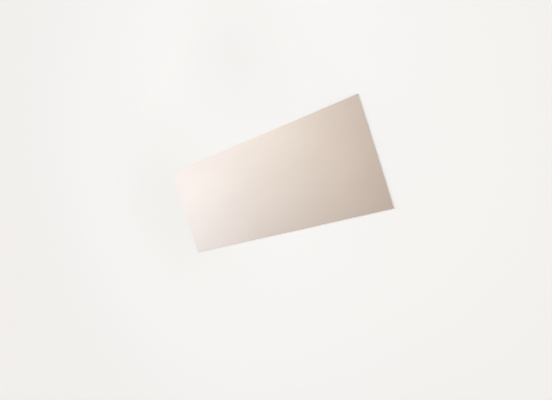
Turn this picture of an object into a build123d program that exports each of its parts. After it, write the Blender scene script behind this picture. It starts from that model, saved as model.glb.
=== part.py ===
from build123d import *
import os

# A paper-faced gypsum wall sheet, lying on its back with its face up.
# X runs along the sheet, Y across it and Z out of its face.
# The origin is the middle of the back, where the sheet rests.

# The sheet as it is sold: 12 ft by 54 in by half an inch
LENGTH = 3657.6
WIDTH = 1371.6
THICKNESS = 12.7

# The two long edges are pressed thinner on the face side, so that joint tape and filler end up flush
TAPER_WIDTH = 60.0
TAPER_DEPTH = 1.8
SHOULDER_RADIUS = 500.0  # the soft bend where the flat face becomes the taper

# The face paper is creased round each long edge and folded on to the back
FACE_CREASE_RADIUS = 1.6
BACK_CREASE_RADIUS = 0.9
FOLD_WIDTH = 24.0  # of the face paper that shows on the back, measured from the edge
BACK_PAPER_THICKNESS = 0.35  # the back paper overlaps the fold, so its border stands this proud


def half_section_corners():
    """The corners of the section's +Y half, from the middle of the back round to the middle of the face."""
    side = WIDTH / 2
    fold_start = side - FOLD_WIDTH
    taper_start = side - TAPER_WIDTH
    edge_top = THICKNESS - TAPER_DEPTH
    return {
        "back_middle": (0, 0),
        "back_paper_border": (fold_start, 0),
        "fold_start": (fold_start, BACK_PAPER_THICKNESS),
        "back_crease": (side, BACK_PAPER_THICKNESS),
        "face_crease": (side, edge_top),
        "shoulder": (taper_start, THICKNESS),
        "face_middle": (0, THICKNESS),
    }


def rounded(section, corner, radius):
    """The section with its vertex nearest to a corner rounded."""
    vertex = section.vertices().sort_by_distance(corner)[0]
    return fillet(vertex, radius)


def sheet_section():
    """The whole cross-section: X of the sketch is the sheet's width, Y its thickness."""
    corners = half_section_corners()
    half = make_face(Polyline(*corners.values(), close=True))
    half = rounded(half, corners["back_crease"], BACK_CREASE_RADIUS)
    half = rounded(half, corners["face_crease"], FACE_CREASE_RADIUS)
    half = rounded(half, corners["shoulder"], SHOULDER_RADIUS)
    return half + mirror(half, about=Plane.YZ)


def drywall_sheet():
    """The section drawn out along the sheet, with both ends sawn square."""
    across = Plane(origin=(0, 0, 0), x_dir=(0, 1, 0), z_dir=(1, 0, 0))
    sheet = extrude(across * sheet_section(), LENGTH / 2, both=True)
    sheet.label = "drywall_sheet"
    return sheet


os.makedirs("parts", exist_ok=True)
export_step(drywall_sheet(), "parts/drywall_sheet.step")
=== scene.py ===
import math
from random import Random

import bpy
import numpy as np
from mathutils import Matrix, Vector, noise


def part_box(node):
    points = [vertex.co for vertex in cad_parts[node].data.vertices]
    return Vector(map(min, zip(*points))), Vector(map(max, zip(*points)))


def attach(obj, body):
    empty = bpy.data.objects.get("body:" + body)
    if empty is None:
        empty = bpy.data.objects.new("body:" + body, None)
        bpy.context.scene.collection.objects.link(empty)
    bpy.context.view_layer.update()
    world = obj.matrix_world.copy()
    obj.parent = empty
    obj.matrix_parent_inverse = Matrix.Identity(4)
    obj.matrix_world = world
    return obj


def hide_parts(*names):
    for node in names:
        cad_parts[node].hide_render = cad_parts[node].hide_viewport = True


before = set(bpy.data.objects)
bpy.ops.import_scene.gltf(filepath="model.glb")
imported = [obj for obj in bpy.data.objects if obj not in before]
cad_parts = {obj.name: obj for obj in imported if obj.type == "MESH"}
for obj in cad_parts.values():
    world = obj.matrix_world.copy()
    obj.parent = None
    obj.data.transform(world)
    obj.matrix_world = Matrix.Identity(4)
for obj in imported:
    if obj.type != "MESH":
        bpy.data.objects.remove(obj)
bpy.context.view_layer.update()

# The sheet lies on its back: X runs along it, Y across it and Z out of its face.
# All lengths are in metres.
MM = 0.001

# The section, as the source of the solid has it
TAPER_WIDTH = 60 * MM
TAPER_DEPTH = 1.8 * MM
SHOULDER_RADIUS = 500 * MM
FACE_CREASE_RADIUS = 1.6 * MM
BACK_CREASE_RADIUS = 0.9 * MM
FOLD_WIDTH = 24 * MM
PAPER_THICKNESS = 0.35 * MM
LAP_BEVEL = 0.15 * MM  # of the back paper's border, where it laps the folded face paper

# How finely the mesh follows the section and the sheet
CREASE_STEPS = 6
SHOULDER_STEPS = 6
THICKNESS_STEPS = 10
FIELD_STEP = 100 * MM  # across the sheet, where it is flat
STATION_STEP = 200 * MM  # along the sheet
CUT_STEP = 1.3 * MM  # along the border of a sawn end
TRANSITION = 12 * MM  # between the last station and the sawn end

# The sawn ends. Pairs of sizes are fine and coarse; other pairs are the least and the most.
PAPER_RAG = 0.18 * MM  # how unevenly the saw leaves the papers
RAG_SIZES = (1.1 * MM, 8.0 * MM)
CORE_RECESS = 0.3 * MM  # the brittle core breaks back behind the papers
CORE_RELIEF = 0.28 * MM
GRAIN_SIZES = (1.1 * MM, 3.8 * MM)
FINE_GRAIN = 0.5  # of the coarse grain's depth
CORNER_WEAR = 1.5 * MM
PITS_PER_END = 150
PIT_REACH = (1.0 * MM, 2.5 * MM)
PIT_HEIGHT = (0.15, 0.85)  # shares of the thickness
PIT_DEPTH = 0.7  # of a pit's reach
NICKS_PER_BORDER = 16
NICK_REACH = (1.2 * MM, 4.5 * MM)
NICK_DEPTH = (0.2 * MM, 1.1 * MM)
SEED = 54
NOISE_GAP = 10.0  # from the noise's origin to each end's own slice of it

# Strips of the unit square that the sheet is unfolded into, as their lower and upper borders.
# The narrow ones are stretched across, so that a thin edge still gets many pixels.
MAP_NAME = "OFBake"
MAP_MARGIN = 0.004
FACE_STRIP = (0.005, 0.385)
BACK_STRIP = (0.395, 0.775)
PLUS_EDGE_STRIP = (0.785, 0.815)
MINUS_EDGE_STRIP = (0.825, 0.855)
PLUS_END_STRIP = (0.865, 0.925)
MINUS_END_STRIP = (0.935, 0.995)
RIM_INSET = (0.001, 0.02)  # shares of an end's strip, along and across, that each rim takes

# Colours, linear
IVORY_LIGHT = (0.83, 0.739, 0.659)
IVORY_SHADE = (0.77, 0.681, 0.601)
RUBBED_PAPER = (0.87, 0.81, 0.74)
FLECK = (0.3, 0.24, 0.19)
KRAFT_LIGHT = (0.58, 0.4, 0.245)
KRAFT_SHADE = (0.425, 0.275, 0.158)
KRAFT_FLECK = (0.17, 0.105, 0.06)
KRAFT_PALE_FLECK = (0.72, 0.6, 0.45)
GLUE_LINE = (0.36, 0.225, 0.125)
GYPSUM_LIGHT = (0.92, 0.9, 0.872)
GYPSUM_SHADE = (0.82, 0.8, 0.768)
# Painted shade for the core's bubbles and voids: the same gypsum, darkened as if shade fell in the
# holes
BUBBLE_PAINTED_SHADE = (0.5, 0.48, 0.45)
PLY_LIGHT = (0.68, 0.58, 0.46)
PLY_SHADE = (0.42, 0.345, 0.26)

# Roughness, at its least and most, and the depth of the finest relief
FACE_ROUGHNESS = (0.8, 0.94)
BACK_ROUGHNESS = (0.88, 0.97)
TORN_ROUGHNESS = (0.9, 1.0)  # of the gypsum and the papers' cut border
FACE_RELIEF = 0.09 * MM
BACK_RELIEF = 0.1 * MM
GYPSUM_RELIEF = 0.25 * MM
PLY_RELIEF = 0.12 * MM
POROUS_SHINE = 0.3  # specular level of paper and gypsum
NOISE_RANGE = (0.3, 0.7)  # between these lies nearly all of a noise

# How strongly marks show, and where they start and end fading, measured in from an edge
FLECK_STRENGTH = 0.5
KRAFT_FLECK_STRENGTH = 0.6
RUB_STRENGTH = 0.35
GLUE_STRENGTH = (0.2, 0.7)  # patchy, so at its least and most
GLUE_FADE = (1.5 * MM, 7 * MM)  # from the folded strip
WEAR_STRENGTH = 0.8
WEAR_FADE = (0.3 * MM, 3.5 * MM)
PRESS_STRENGTH = 0.9  # of the lines that the press leaves on the tapers
PRESS_FADE = (0.85 * TAPER_WIDTH, 1.1 * TAPER_WIDTH)
# How strongly the painted shade darkens the bubbles and voids
BUBBLE_PAINTED_SHADE_STRENGTH = 0.6
BUBBLE_DEPTH = 0.7  # of the gypsum's relief
FOAM_STRENGTH = 0.6  # of the finest bubbles, against the larger ones

# The stage. A level of 1 lights a colour so that it shows about as it is written.
FLOOR_COLOUR = (0.75, 0.75, 0.75)
FLOOR_REACH = 60.0
BACKDROP = (0.885, 0.865, 0.845)  # the pale, faintly warm colour that shows behind the sheet
LAMPS = {  # square and shining straight down: place, level straight below and tint
    "far_lamp": ((-2.07, 0.23, 2.72), 0.9, (0.9, 1.0, 1.15)),
    "side_lamp": ((0.19, 1.72, 2.0), 0.63, (0.9, 1.0, 1.05)),
    "near_lamp": ((1.2, 0.25, 2.0), 0.24, (1.12, 1.0, 0.86)),
}
LAMP_SIZE = 1.6
WORLD_LEVEL = 0.18
WORLD_TINT = (1.17, 0.915, 0.745)
FILLS = {"near_fill": (-35, 0.08), "far_fill": (145, 0.05)}  # degrees from +X, and level on the floor
FILL_HEIGHT = 12  # degrees above the floor
FILL_SOFTNESS = 25  # degrees across

# The camera stands where the photograph's stood, as seen from the sheet
CAMERA_PLACE = (4.621, 0.016, 5.027)
CAMERA_AIM = (0.142, -0.216, 0.0)
PICTURE_UP = 66.73  # degrees from the sheet's length to the picture's upright, round Z
FOCAL_LENGTH_MM = 32.0
SENSOR_WIDTH_MM = 36.0

half_length, side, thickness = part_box("drywall_sheet")[1]
taper_angle = math.atan2(TAPER_DEPTH, TAPER_WIDTH)
edge_top = thickness - TAPER_DEPTH
shoulder_reach = SHOULDER_RADIUS * math.tan(taper_angle / 2)


def quarter_round(from_edge, radius):
    """How high a rounded crease is over its centre, at distances from the edge that it rounds."""
    to_centre = np.clip(radius - from_edge, 0, radius)
    return np.sqrt(radius**2 - to_centre**2)


def face_height(from_edge):
    """Height of the face at distances from the nearer long edge: crease, taper, shoulder and flat."""
    taper = edge_top + from_edge * math.tan(taper_angle)
    crease_centre = edge_top + FACE_CREASE_RADIUS * (math.tan(taper_angle) - 1 / math.cos(taper_angle))
    crease = crease_centre + quarter_round(from_edge, FACE_CREASE_RADIUS)
    crease_end = FACE_CREASE_RADIUS * (1 - math.sin(taper_angle))
    to_flat = np.clip(TAPER_WIDTH + shoulder_reach - from_edge, 0, 2 * shoulder_reach)
    shoulder = thickness - SHOULDER_RADIUS + np.sqrt(SHOULDER_RADIUS**2 - to_flat**2)
    height = np.where(from_edge > TAPER_WIDTH - shoulder_reach, shoulder, taper)
    return np.where(from_edge < crease_end, crease, height)


def back_height(from_edge):
    """Height of the back: the crease, the folded face paper and, lower, the back paper over it."""
    crease = BACK_CREASE_RADIUS - quarter_round(from_edge, BACK_CREASE_RADIUS)
    fold = PAPER_THICKNESS * np.clip((FOLD_WIDTH - from_edge) / LAP_BEVEL, 0, 1)
    return crease + fold


def section_lines():
    """Where the lines that run along the sheet cross its section, from one long edge to the other."""
    turns = [math.pi / 2 * k / CREASE_STEPS for k in range(CREASE_STEPS + 1)]
    crease = [FACE_CREASE_RADIUS * (1 - math.cos(turn)) for turn in turns]
    lap = [FOLD_WIDTH - LAP_BEVEL, FOLD_WIDTH]
    bend_start, bend_end = TAPER_WIDTH - shoulder_reach, TAPER_WIDTH + shoulder_reach
    shoulder = np.linspace(bend_start, bend_end, SHOULDER_STEPS + 1)
    edge = np.array([*crease, *lap, *shoulder])
    field_edge = side - edge[-1]
    field = np.linspace(-field_edge, field_edge, round(2 * field_edge / FIELD_STEP) + 1)
    return np.concatenate([edge - side, field[1:-1], (side - edge)[::-1]])


def cut_lines(lines):
    """The section's lines with short steps between them, for a sawn end, and the lines' numbers."""
    places, marks = [], []
    for here, there in zip(lines[:-1], lines[1:]):
        marks.append(len(places))
        steps = max(1, round((there - here) / CUT_STEP))
        places.extend(here + (there - here) * k / steps for k in range(steps))
    marks.append(len(places))
    places.append(lines[-1])
    return np.array(places), marks


def section_grid(across, inset=0.0):
    """Y and Z of a grid over the section, rows from back to face, inset from its outline."""
    from_edge = side - np.abs(across)
    bottom = back_height(from_edge) + inset
    top = face_height(from_edge) - inset
    rows = np.linspace(0, 1, THICKNESS_STEPS + 1)[:, None]
    heights = bottom + (top - bottom) * rows
    places = np.broadcast_to(across * (side - inset) / side, heights.shape)
    return places, heights


def border(columns):
    """Row and column of each point round a section grid: back, +Y edge, face, -Y edge."""
    last = THICKNESS_STEPS
    back = [(0, column) for column in columns]
    plus_edge = [(row, columns[-1]) for row in range(1, last)]
    face = [(last, column) for column in reversed(columns)]
    minus_edge = [(row, columns[0]) for row in range(last - 1, 0, -1)]
    return back + plus_edge + face + minus_edge


def strip_between(here, there):
    """The map's strip for the outline between two of its points, each a row and a column."""
    (row, column), (next_row, _) = here, there
    if row == next_row:
        return BACK_STRIP if row == 0 else FACE_STRIP
    return PLUS_EDGE_STRIP if column else MINUS_EDGE_STRIP


def map_place(point, rim, strip):
    """Where a point goes in the map.

    The rims of an end are 0 outside the papers, 1 inside them and 2 on the core.
    """
    x, y, z = point
    across_sheet = 0.5 + y / (2 * side)
    upwards = z / thickness
    if strip in (PLUS_END_STRIP, MINUS_END_STRIP):
        shares = (across_sheet, upwards)
    elif strip in (PLUS_EDGE_STRIP, MINUS_EDGE_STRIP):
        shares = (0.5 + x / (2 * half_length), upwards)
    else:
        shares = (0.5 + x / (2 * half_length), across_sheet)
    along, across = [
        0.5 + (share - 0.5) * (1 - 2 * rim * inset)
        for share, inset in zip(shares, RIM_INSET)
    ]
    lower, upper = strip
    return MAP_MARGIN + along * (1 - 2 * MAP_MARGIN), lower + across * (upper - lower)


# The numbers of the sheet's materials, in the order in which make_sheet lists them
FACE_PAPER, BACK_PAPER, CORE, PAPER_CUT = range(4)


def paper_at(y, z):
    """Which paper covers a point of the outline."""
    is_lapped = z < PAPER_THICKNESS / 2 and abs(y) < side - FOLD_WIDTH + LAP_BEVEL
    return BACK_PAPER if is_lapped else FACE_PAPER


class SheetMesh:
    """Collects the sheet's points and faces, with their materials and places in the map."""

    def __init__(self):
        self.points = []
        self.rims = []
        self.faces = []
        self.materials = []
        self.smooth = []
        self.map_places = []

    def ring(self, x, y, z, rim=0):
        """Adds points and returns their numbers."""
        first = len(self.points)
        self.points.extend(zip(x, y, z))
        self.rims.extend([rim] * (len(self.points) - first))
        return list(range(first, len(self.points)))

    def face(self, corners, material, strip, flip=False, smooth=False):
        """Adds one face, turned round where that makes it look outwards."""
        corners = list(reversed(corners)) if flip else list(corners)
        self.faces.append(corners)
        self.materials.append(material)
        self.smooth.append(smooth)
        self.map_places.extend(map_place(self.points[c], self.rims[c], strip) for c in corners)

    def outline_face(self, corners, here, there, strip, flip=False):
        """Adds one face of the papers, over the stretch between two points of the outline."""
        y, z = (here[0] + there[0]) / 2, (here[1] + there[1]) / 2
        is_crease = bool(side - abs(y) < FACE_CREASE_RADIUS)
        self.face(corners, paper_at(y, z), strip, flip, is_crease)

    def build(self, name, materials):
        """The Blender object."""
        mesh = bpy.data.meshes.new(name)
        mesh.from_pydata(self.points, [], self.faces)
        for material in materials:
            mesh.materials.append(material)
        mesh.polygons.foreach_set("material_index", self.materials)
        mesh.polygons.foreach_set("use_smooth", self.smooth)
        mesh.uv_layers.new(name=MAP_NAME).uv.foreach_set("vector", np.ravel(self.map_places))
        mesh.update()
        piece = bpy.data.objects.new(name, mesh)
        bpy.context.scene.collection.objects.link(piece)
        return piece


def add_walls(mesh, lines):
    """The papers between the first and the last station. Returns the rings of these two."""
    places, heights = section_grid(lines)
    outline = border(range(len(lines)))
    section = [(places[p], heights[p]) for p in outline]
    inner = half_length - TRANSITION
    stations = np.linspace(-inner, inner, round(2 * inner / STATION_STEP) + 1)
    rings = [mesh.ring([x] * len(section), *zip(*section)) for x in stations]
    for here, there in zip(rings[:-1], rings[1:]):
        for k in range(len(outline)):
            n = (k + 1) % len(outline)
            corners = [here[k], here[n], there[n], there[k]]
            mesh.outline_face(corners, section[k], section[n], strip_between(outline[k], outline[n]))
    return rings[0], rings[-1]


def draw_nicks(random):
    """Small tears in the papers' cut border, as (Y, Z, half width, depth)."""
    return [
        (random.uniform(-side, side), height, random.uniform(*NICK_REACH), random.uniform(*NICK_DEPTH))
        for height in (0.0, thickness)
        for _ in range(NICKS_PER_BORDER)
    ]


def bumps(y, z, size, seed):
    """Smooth noise from 0 to 1 over the section's plane. Each seed gives another one."""
    return 0.5 + 0.5 * noise.noise(Vector((y / size, z / size, seed)))


def paper_recess(y, z, nicks, seed):
    """How far the papers' cut border stands back from the end: rag, nicks and worn corners."""
    fine, coarse = RAG_SIZES
    recess = PAPER_RAG * bumps(y, z, fine, seed) * bumps(y, z, coarse, seed + 1)
    for nick_y, nick_z, reach, depth in nicks:
        if abs(z - nick_z) < thickness / 3:  # a nick tears only its own paper
            recess += depth * max(0.0, 1 - ((y - nick_y) / reach) ** 2)
    to_corner = max(0.0, CORNER_WEAR - (side - abs(y)))
    return recess + CORNER_WEAR - math.sqrt(CORNER_WEAR**2 - to_corner**2)


def core_recess(places, heights, random, seed):
    """How far each point of the sawn core stands back from the end: torn relief and open pits."""
    fine, coarse = GRAIN_SIZES
    relief = np.array([
        bumps(y, z, coarse, seed + 2) + FINE_GRAIN * bumps(y, z, fine, seed + 3)
        for y, z in zip(places.ravel(), heights.ravel())
    ]).reshape(places.shape)
    recess = CORE_RECESS + CORE_RELIEF * (relief - 0.5)
    for _ in range(PITS_PER_END):
        pit_y = random.uniform(-side, side)
        pit_z = random.uniform(*PIT_HEIGHT) * thickness
        reach = random.uniform(*PIT_REACH)
        away = ((places - pit_y) ** 2 + (heights - pit_z) ** 2) / reach**2
        recess += PIT_DEPTH * reach * np.clip(1 - away, 0, 1)
    return recess


def add_transition(mesh, lines_ring, marks, outline, section, cut, flip):
    """The papers from a last station, with its wide steps, to a sawn end, with its short ones."""
    number = {point: k for k, point in enumerate(outline)}
    wide_outline = border(marks)
    for k, point in enumerate(wide_outline):
        n = (k + 1) % len(wide_outline)
        first = number[point]
        last = number[wide_outline[n]] or len(outline)  # the outline's first point also ends it
        along = [cut[i % len(outline)] for i in range(first, last + 1)]
        ends = section[first], section[last % len(outline)]
        strip = strip_between(point, wide_outline[n])
        mesh.outline_face([lines_ring[k], *along, lines_ring[n]], *ends, strip, not flip)


def add_band(mesh, outer, inner, material, strip, flip):
    """The faces between two closed rings with the same number of points."""
    for k in range(len(outer)):
        n = (k + 1) % len(outer)
        mesh.face([outer[k], outer[n], inner[n], inner[k]], material, strip, flip)


def add_core(mesh, grid, strip, flip):
    """The faces of the sawn core, over a grid of its points."""
    for row, next_row in zip(grid[:-1].tolist(), grid[1:].tolist()):
        for c in range(len(row) - 1):
            corners = [row[c], row[c + 1], next_row[c + 1], next_row[c]]
            mesh.face(corners, CORE, strip, flip, smooth=True)


def add_end(mesh, lines, lines_ring, direction):
    """One sawn end: the papers up to it, their cut border, the step down to the core and the core."""
    random = Random(SEED + direction)
    seed = NOISE_GAP * direction
    flip = direction < 0
    strip = MINUS_END_STRIP if flip else PLUS_END_STRIP
    fine, marks = cut_lines(lines)
    nicks = draw_nicks(random)
    places, heights = section_grid(fine)
    outline = border(range(len(fine)))
    section = [(places[p], heights[p]) for p in outline]
    x = [direction * (half_length - paper_recess(*point, nicks, seed)) for point in section]
    cut = mesh.ring(x, *zip(*section))
    add_transition(mesh, lines_ring, marks, outline, section, cut, flip)

    core_y, core_z = section_grid(fine, PAPER_THICKNESS)
    core_x = direction * (half_length - core_recess(core_y, core_z, random, seed))
    inside = mesh.ring(x, [core_y[p] for p in outline], [core_z[p] for p in outline], rim=1)
    core = mesh.ring(core_x.ravel(), core_y.ravel(), core_z.ravel(), rim=2)
    grid = np.array(core).reshape(core_x.shape)
    add_band(mesh, cut, inside, PAPER_CUT, strip, flip)
    add_band(mesh, inside, [int(grid[p]) for p in outline], CORE, strip, flip)
    add_core(mesh, grid, strip, flip)


class Nodes:
    """Short calls that add nodes to a material or world and return their outputs."""

    def __init__(self, owner):
        owner.use_nodes = True
        self.tree = owner.node_tree

    def set(self, socket, value):
        """Links an output to a socket, or writes a number, vector or colour there."""
        if isinstance(value, bpy.types.NodeSocket):
            self.tree.links.new(value, socket)
        else:
            socket.default_value = (*value, 1) if socket.type == "RGBA" else value

    def node(self, kind, inputs, **options):
        """Adds a node, with inputs by their names or numbers."""
        node = self.tree.nodes.new("ShaderNode" + kind)
        for option, value in options.items():
            setattr(node, option, value)
        for key, value in inputs.items():
            self.set(node.inputs[key], value)
        return node

    def maths(self, operation, *values):
        """A number worked out from others."""
        return self.node("Math", dict(enumerate(values)), operation=operation).outputs["Value"]

    def vector_maths(self, operation, *values):
        """A vector or colour worked out from others, part by part."""
        return self.node("VectorMath", dict(enumerate(values)), operation=operation).outputs[0]

    def shown(self):
        """1 for the rays that show a background: those from the camera, off metal or through glass."""
        rays = self.node("LightPath", {}).outputs
        mirrored = self.maths("MAXIMUM", rays["Is Glossy Ray"], rays["Is Transmission Ray"])
        return self.maths("MAXIMUM", rays["Is Camera Ray"], mirrored)


class Finish(Nodes):
    """A material whose textures are placed in metres on the sheet."""

    def __init__(self, name):
        self.material = bpy.data.materials.new(name)
        super().__init__(self.material)
        self.shader = self.tree.nodes["Principled BSDF"]
        self.place = self.node("TexCoord", {}).outputs["Object"]

    def in_units(self, sizes, turn):
        """The place in units of a feature's size along X, Y and Z, once turned about Z by degrees."""
        inputs = {"Vector": self.place, "Rotation": (0, 0, math.radians(turn)), "Scale": sizes}
        return self.node("Mapping", inputs, vector_type="TEXTURE").outputs["Vector"]

    def noise(self, sizes, detail=2.0, turn=0.0):
        """Noise about 0.5, with features of these sizes."""
        inputs = {"Vector": self.in_units(sizes, turn), "Scale": 1.0, "Detail": detail}
        return self.node("TexNoise", inputs).outputs["Fac"]

    def ramp(self, value, limits, results=(0.0, 1.0)):
        """A value between two limits turned smoothly into one between two results."""
        (start, end), (first, last) = limits, results
        inputs = {"Value": value, "From Min": start, "From Max": end, "To Min": first, "To Max": last}
        return self.node("MapRange", inputs, interpolation_type="SMOOTHSTEP").outputs["Result"]

    def centred(self, value):
        """A noise about 0 instead of 0.5."""
        return self.maths("SUBTRACT", value, 0.5)

    def specks(self, spacing, reach, share, turn=0.0):
        """1 inside ragged specks of different sizes, in this share of a random grid's cells.

        The spacing is the cells' size, and the reach is the largest specks', in spacings.
        """
        smallest, rag_size, rag_depth = 0.35 * reach, 0.6 * reach, 1.6 * reach
        cells = self.node("TexVoronoi", {"Vector": self.in_units(spacing, turn), "Scale": 1.0}).outputs
        chance, size, _ = self.node("SeparateColor", {"Color": cells["Color"]}).outputs
        rag = self.centred(self.noise([rag_size * length for length in spacing], turn=turn))
        away = self.maths("MULTIPLY_ADD", rag, rag_depth, cells["Distance"])
        rim = self.ramp(size, (0.0, 1.0), (smallest, reach))
        inside = self.ramp(away, (rim, self.maths("MULTIPLY", rim, 0.5)))
        return self.maths("MULTIPLY", inside, self.maths("LESS_THAN", chance, share))

    def varied(self, *shares):
        """0.5, moved up and down by noises, each with its weight."""
        level = 0.5
        for value, weight in shares:
            level = self.maths("MULTIPLY_ADD", self.centred(value), weight, level)
        return level

    def mixed(self, share, first, second):
        """A colour between two, by a share."""
        node = self.node("Mix", {"Factor": share}, data_type="RGBA")
        colour_inputs = [socket for socket in node.inputs if socket.type == "RGBA"]
        for socket, colour in zip(colour_inputs, (first, second)):
            self.set(socket, colour)
        return next(socket for socket in node.outputs if socket.type == "RGBA")

    def from_long_edge(self):
        """Distance to the nearer long edge."""
        y = self.node("SeparateXYZ", {"Vector": self.place}).outputs["Y"]
        return self.maths("SUBTRACT", side, self.maths("ABSOLUTE", y))

    def from_border(self):
        """Distance to the nearest long edge or sawn end."""
        x = self.node("SeparateXYZ", {"Vector": self.place}).outputs["X"]
        from_end = self.maths("SUBTRACT", half_length, self.maths("ABSOLUTE", x))
        return self.maths("MINIMUM", from_end, self.from_long_edge())

    def finish(self, colour, roughness, height, depth):
        """Sets the shader's colour, roughness and relief: a height, and the depth of a height of 1."""
        self.set(self.shader.inputs["Base Color"], colour)
        self.set(self.shader.inputs["Roughness"], roughness)
        self.set(self.shader.inputs["Specular IOR Level"], POROUS_SHINE)
        bump = self.node("Bump", {"Height": height, "Distance": depth}).outputs["Normal"]
        self.set(self.shader.inputs["Normal"], bump)
        return self.material


def face_paper_material():
    """Smooth ivory paper: cloudy and fibrous, with flecks, pressed tapers and a rubbed border."""
    paper = Finish("face_paper")
    drift = paper.noise((900 * MM, 500 * MM, 500 * MM))
    streaks = paper.noise((900 * MM, 38 * MM, 38 * MM))
    clouds = paper.noise((16 * MM, 11 * MM, 11 * MM), detail=3)
    fibres = paper.noise((2.6 * MM, 0.35 * MM, 0.35 * MM), detail=3, turn=8)
    crossing = paper.noise((1.8 * MM, 0.4 * MM, 0.4 * MM), turn=-35)
    pressed = paper.ramp(paper.from_long_edge(), PRESS_FADE, (PRESS_STRENGTH, 0.0))
    lines = paper.noise((2400 * MM, 1.4 * MM, 1.4 * MM))
    press_lines = paper.maths("MULTIPLY", paper.centred(lines), pressed)
    tone = paper.varied((drift, 1.0), (streaks, 0.35), (clouds, 1.1), (fibres, 1.5), (crossing, 1.0))
    ivory = paper.mixed(paper.maths("ADD", tone, press_lines), IVORY_SHADE, IVORY_LIGHT)
    flecks = paper.specks((34 * MM, 14 * MM, 14 * MM), reach=0.05, share=0.5, turn=20)
    flecked = paper.mixed(paper.maths("MULTIPLY", flecks, FLECK_STRENGTH), ivory, FLECK)
    border_wear = paper.ramp(paper.from_border(), WEAR_FADE, (WEAR_STRENGTH, 0.0))
    wear = paper.maths("MULTIPLY", border_wear, paper.ramp(clouds, (0.38, 0.62)))
    colour = paper.mixed(wear, flecked, RUBBED_PAPER)
    roughness = paper.ramp(paper.varied((clouds, 1.0), (fibres, 1.0)), (0.2, 0.8), FACE_ROUGHNESS)
    relief = paper.varied((fibres, 0.9), (crossing, 0.7), (clouds, 0.8))
    height = paper.maths("ADD", relief, press_lines)
    return paper.finish(colour, roughness, height, FACE_RELIEF)


def back_paper_material():
    """Brown recycled paper: coarse, streaked, flecked and rubbed, with glue along its border."""
    paper = Finish("back_paper")
    drift = paper.noise((700 * MM, 300 * MM, 300 * MM))
    streaks = paper.noise((900 * MM, 9 * MM, 9 * MM))
    clouds = paper.noise((12 * MM, 9 * MM, 9 * MM), detail=4)
    fibres = paper.noise((3.2 * MM, 0.5 * MM, 0.5 * MM), detail=3, turn=-6)
    tone = paper.varied((drift, 0.6), (streaks, 0.7), (clouds, 1.0), (fibres, 1.4))
    kraft = paper.mixed(tone, KRAFT_SHADE, KRAFT_LIGHT)
    dark = paper.specks((14 * MM, 6 * MM, 6 * MM), reach=0.1, share=0.6, turn=15)
    pale = paper.specks((18 * MM, 7 * MM, 7 * MM), reach=0.1, share=0.5, turn=-12)
    dark_share = paper.maths("MULTIPLY", dark, KRAFT_FLECK_STRENGTH)
    pale_share = paper.maths("MULTIPLY", pale, KRAFT_FLECK_STRENGTH)
    darkened = paper.mixed(dark_share, kraft, KRAFT_FLECK)
    flecked = paper.mixed(pale_share, darkened, KRAFT_PALE_FLECK)
    scratches = paper.noise((240 * MM, 1.6 * MM, 1.6 * MM), detail=3, turn=3)
    rubs = paper.ramp(scratches, (0.6, 0.74), (0.0, RUB_STRENGTH))
    rubbed = paper.mixed(rubs, flecked, KRAFT_PALE_FLECK)
    from_lap = paper.maths("SUBTRACT", paper.from_long_edge(), FOLD_WIDTH)
    glue = paper.ramp(clouds, NOISE_RANGE, GLUE_STRENGTH)
    glue_line = paper.maths("MULTIPLY", glue, paper.ramp(from_lap, GLUE_FADE, (1.0, 0.0)))
    colour = paper.mixed(glue_line, rubbed, GLUE_LINE)
    roughness = paper.ramp(clouds, NOISE_RANGE, BACK_ROUGHNESS)
    height = paper.varied((fibres, 0.8), (clouds, 0.9), (streaks, 0.4))
    return paper.finish(colour, roughness, height, BACK_RELIEF)


def core_material():
    """Sawn gypsum: chalky, with open air bubbles darkened by painted shade, and upright saw marks."""
    gypsum = Finish("gypsum_core")
    chalk = gypsum.noise((6 * MM, 6 * MM, 4 * MM), detail=4)
    grain = gypsum.noise((0.45 * MM, 0.45 * MM, 0.45 * MM), detail=3)
    saw = gypsum.noise((2 * MM, 1.1 * MM, 30 * MM), detail=2)
    foam = gypsum.specks((0.5 * MM, 0.5 * MM, 0.5 * MM), reach=0.34, share=0.7)
    bubbles = gypsum.specks((1.5 * MM, 1.5 * MM, 1.4 * MM), reach=0.26, share=0.4)
    voids = gypsum.specks((5.2 * MM, 5.2 * MM, 3.9 * MM), reach=0.2, share=0.4)
    larger = gypsum.maths("MAXIMUM", bubbles, voids)
    open_air = gypsum.maths("MAXIMUM", gypsum.maths("MULTIPLY", foam, FOAM_STRENGTH), larger)
    tone = gypsum.varied((chalk, 0.9), (grain, 1.1), (saw, 0.8))
    chalky = gypsum.mixed(tone, GYPSUM_SHADE, GYPSUM_LIGHT)
    # Painted shade: the bubbles and voids are darkened towards a shade colour, as if shade fell in
    # them
    painted_shade_share = gypsum.maths("MULTIPLY", open_air, BUBBLE_PAINTED_SHADE_STRENGTH)
    colour = gypsum.mixed(painted_shade_share, chalky, BUBBLE_PAINTED_SHADE)
    roughness = gypsum.ramp(grain, NOISE_RANGE, TORN_ROUGHNESS)
    relief = gypsum.varied((grain, 0.6), (saw, 0.7), (chalk, 0.5))
    height = gypsum.maths("SUBTRACT", relief, gypsum.maths("MULTIPLY", open_air, BUBBLE_DEPTH))
    return gypsum.finish(colour, roughness, height, GYPSUM_RELIEF)


def paper_cut_material():
    """The papers' cut border at a sawn end: grey-brown plies, their fibres torn along the cut."""
    plies = Finish("paper_cut")
    fibres = plies.noise((0.3 * MM, 1.4 * MM, 0.12 * MM), detail=3)
    fluff = plies.noise((0.4 * MM, 0.5 * MM, 0.4 * MM), detail=3)
    tone = plies.varied((fibres, 1.6), (fluff, 0.8))
    colour = plies.mixed(tone, PLY_SHADE, PLY_LIGHT)
    roughness = plies.ramp(fluff, NOISE_RANGE, TORN_ROUGHNESS)
    return plies.finish(colour, roughness, tone, PLY_RELIEF)


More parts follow.
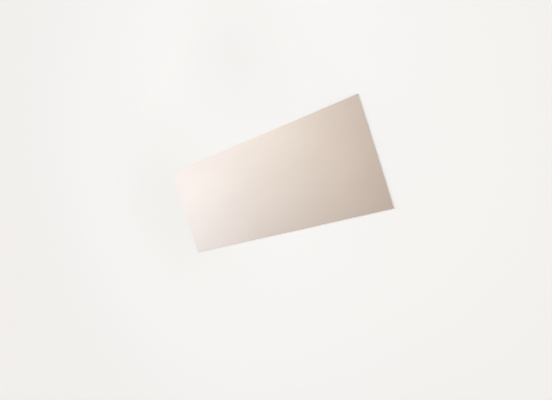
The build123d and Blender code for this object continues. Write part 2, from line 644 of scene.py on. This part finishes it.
def make_sheet():
    """The dressed sheet, which stands for the solid."""
    mesh = SheetMesh()
    lines = section_lines()
    first_ring, last_ring = add_walls(mesh, lines)
    add_end(mesh, lines, last_ring, 1)
    add_end(mesh, lines, first_ring, -1)
    materials = [face_paper_material(), back_paper_material(), core_material(), paper_cut_material()]
    sheet = mesh.build("sheet", materials)
    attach(sheet, "root")
    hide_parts("drywall_sheet")


def floor_material():
    """Plain grey, but shown evenly pale: as a background its colour makes up for uneven light."""
    floor = Finish("floor")
    lamp_spread = LAMP_SIZE**2 / 6  # mean square distance from a square's middle
    fill_level = sum(level for _, level in FILLS.values())
    light = [WORLD_LEVEL * part + fill_level for part in WORLD_TINT]
    for place, level, tint in LAMPS.values():
        distance = floor.node("VectorMath", {0: floor.place, 1: place}, operation="DISTANCE")
        square = floor.maths("POWER", distance.outputs["Value"], 2)
        square = floor.maths("ADD", square, lamp_spread)
        falloff = floor.maths("POWER", floor.maths("DIVIDE", place[2] ** 2, square), 2)
        light = floor.vector_maths("MULTIPLY_ADD", [level * part for part in tint], falloff, light)
    shown = floor.vector_maths("DIVIDE", BACKDROP, light)
    floor.set(floor.shader.inputs["Base Color"], floor.mixed(floor.shown(), FLOOR_COLOUR, shown))
    floor.set(floor.shader.inputs["Roughness"], 1.0)
    floor.set(floor.shader.inputs["Specular IOR Level"], 0.0)
    return floor.material


def make_floor():
    """A plain pale floor that reaches beyond every view."""
    mesh = bpy.data.meshes.new("floor")
    corners = [(x * FLOOR_REACH, y * FLOOR_REACH, 0) for x, y in ((-1, -1), (1, -1), (1, 1), (-1, 1))]
    mesh.from_pydata(corners, [], [range(4)])
    mesh.materials.append(floor_material())
    floor = bpy.data.objects.new("floor", mesh)
    bpy.context.scene.collection.objects.link(floor)


def make_world():
    """Even light, shown as the backdrop's colour."""
    world = bpy.data.worlds.new("world")
    bpy.context.scene.world = world
    nodes = Nodes(world)
    light = nodes.node("Background", {"Color": WORLD_TINT, "Strength": WORLD_LEVEL}).outputs[0]
    backdrop = nodes.node("Background", {"Color": BACKDROP, "Strength": 1.0}).outputs[0]
    choice = nodes.node("MixShader", {"Fac": nodes.shown(), 1: light, 2: backdrop}).outputs[0]
    nodes.set(nodes.tree.nodes["World Output"].inputs["Surface"], choice)


def add_lamp(lamp, place, direction):
    """Stands a lamp at a place, shining in a direction."""
    stand = bpy.data.objects.new(lamp.name, lamp)
    stand.location = place
    stand.rotation_mode = "QUATERNION"
    stand.rotation_quaternion = Vector(direction).to_track_quat("-Z", "Y")
    bpy.context.scene.collection.objects.link(stand)


def make_lamps():
    """Soft lamps above the sheet, and low fills that light its ends and long edges."""
    for name, (place, level, tint) in LAMPS.items():
        lamp = bpy.data.lights.new(name, "AREA")
        lamp.size = LAMP_SIZE
        lamp.color = tint
        lamp.energy = level * math.pi**2 * place[2] ** 2  # the watts that give this level
        add_lamp(lamp, place, (0, 0, -1))

    rise = math.radians(FILL_HEIGHT)
    for name, (degrees, level) in FILLS.items():
        fill = bpy.data.lights.new(name, "SUN")
        fill.angle = math.radians(FILL_SOFTNESS)
        fill.energy = level * math.pi / math.sin(rise)  # the strength that gives this level
        heading = math.radians(degrees)
        add_lamp(fill, (0, 0, 0), (-math.cos(heading), -math.sin(heading), -math.tan(rise)))


def make_camera():
    """The photograph's viewing angle on the sheet."""
    place, aim = Vector(CAMERA_PLACE), Vector(CAMERA_AIM)
    up = Vector((math.cos(math.radians(PICTURE_UP)), math.sin(math.radians(PICTURE_UP)), 0))
    towards_viewer = (place - aim).normalized()
    right = up.cross(towards_viewer).normalized()
    upright = towards_viewer.cross(right)
    data = bpy.data.cameras.new("camera")
    data.lens = FOCAL_LENGTH_MM
    data.sensor_width = SENSOR_WIDTH_MM
    camera = bpy.data.objects.new("camera", data)
    turn = Matrix((right, upright, towards_viewer)).transposed()
    camera.matrix_world = Matrix.Translation(place) @ turn.to_4x4()
    bpy.context.scene.collection.objects.link(camera)
    bpy.context.scene.camera = camera


make_sheet()
make_floor()
make_world()
make_lamps()
make_camera()
bpy.context.scene.view_settings.view_transform = "Standard"
